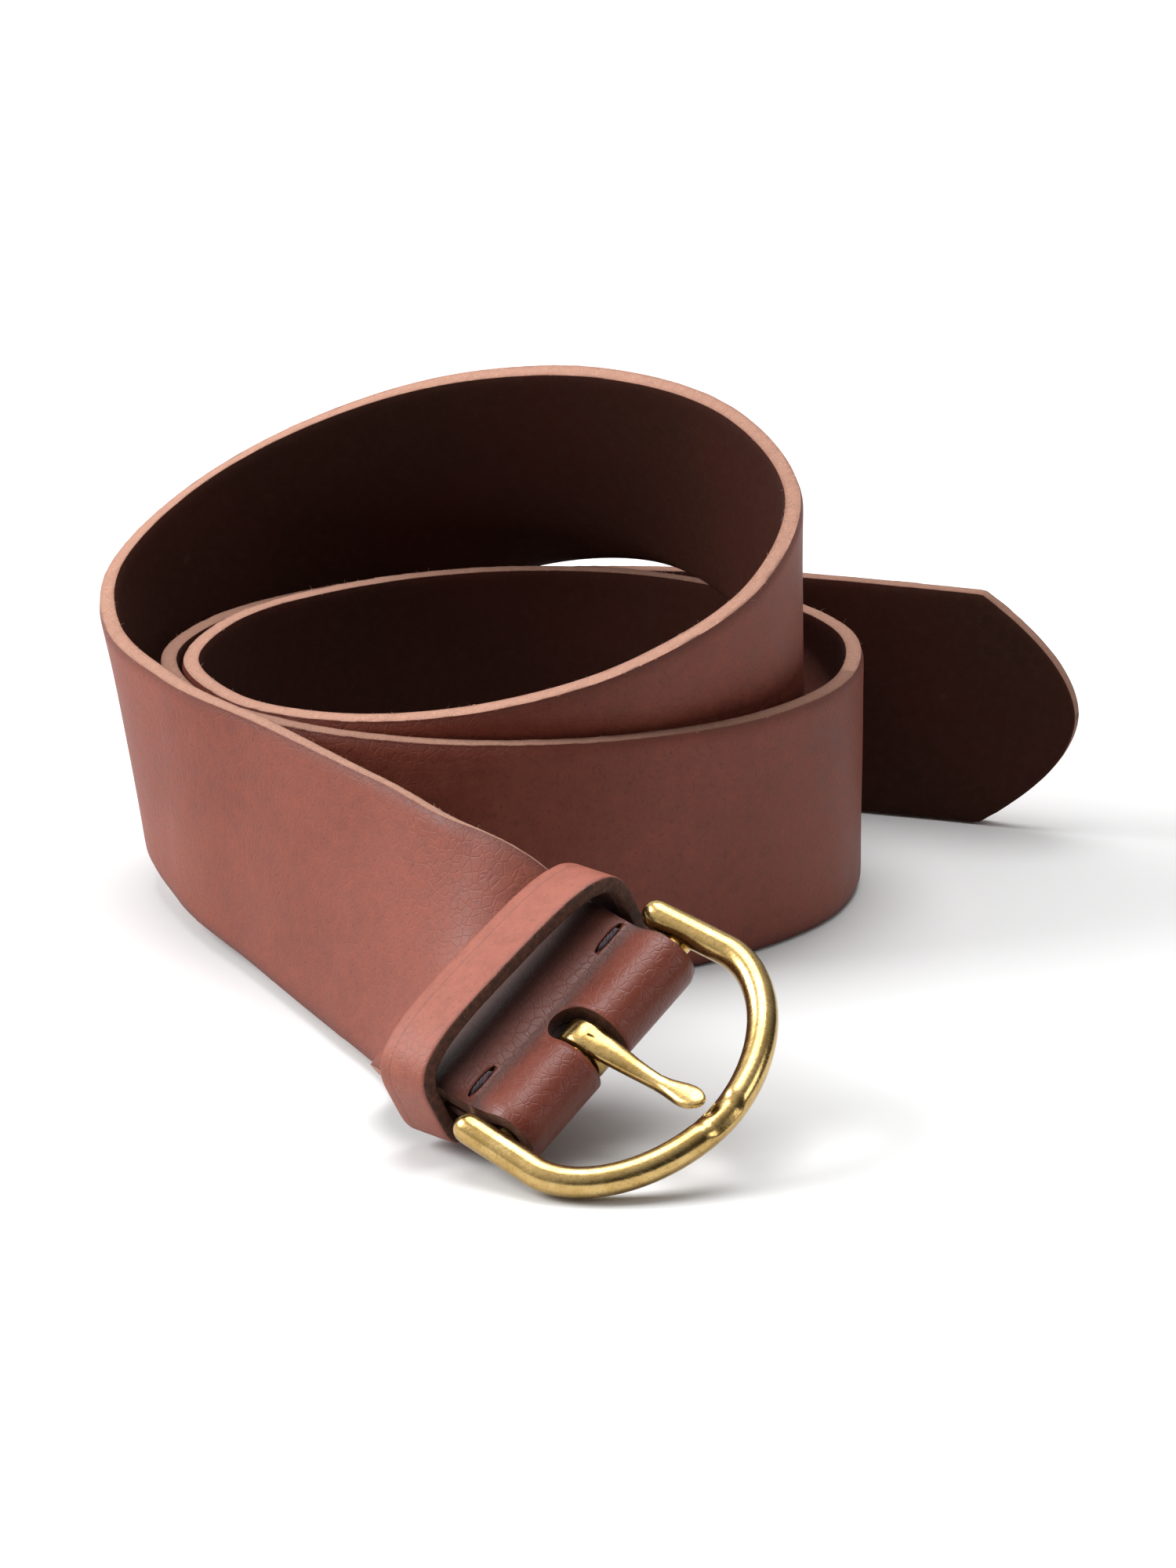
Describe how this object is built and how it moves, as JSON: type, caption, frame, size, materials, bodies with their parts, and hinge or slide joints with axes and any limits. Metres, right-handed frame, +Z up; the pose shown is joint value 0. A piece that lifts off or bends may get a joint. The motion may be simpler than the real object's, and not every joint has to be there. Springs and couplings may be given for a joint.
{
  "type": "leather belt",
  "caption": "Smooth russet leather belt, loosely coiled on its lower edge, with a brass half-round buckle, a swinging tongue, a leather keeper loop and a pointed tail.",
  "frame": {"origin": "on the table under the middle of the coiled belt's bounding box", "axes": "+Z up; the strap stands on its lower edge, the buckle is at the -Y side and the pointed end at the +X side"},
  "size_m": [0.1602, 0.1811, 0.0802],
  "materials": {
    "strap_leather": "smooth waxed grain outside, dark flesh inside, raw tan edges",
    "keeper_leather": "smooth waxed grain, burnished brown edge",
    "brass": "polished solid brass, lightly worn",
    "staple_steel": "plain wire",
    "waxed_thread": "waxed dark thread"
  },
  "bodies": {
    "belt": {"strap": "strap_leather", "near_tack_stitch": "waxed_thread", "far_tack_stitch": "waxed_thread", "keeper_band": "keeper_leather", "keeper_staples": "staple_steel"},
    "buckle": {"buckle_frame": "brass", "centre_bar": "brass"},
    "prong": {"tongue": "brass"}
  },
  "joints": [
    {"name": "buckle_swing", "type": "hinge", "parent": "belt", "child": "buckle", "pos_m": [-0.00047, -0.06525, 0.01545], "axis": [-0.6023, -0.6354, -0.4833], "range_deg": [0, 20]},
    {"name": "tongue_swing", "type": "hinge", "parent": "buckle", "child": "prong", "pos_m": [-0.00047, -0.06525, 0.01545], "axis": [-0.6023, -0.6354, -0.4833], "range_deg": [0, 85]}
  ]
}
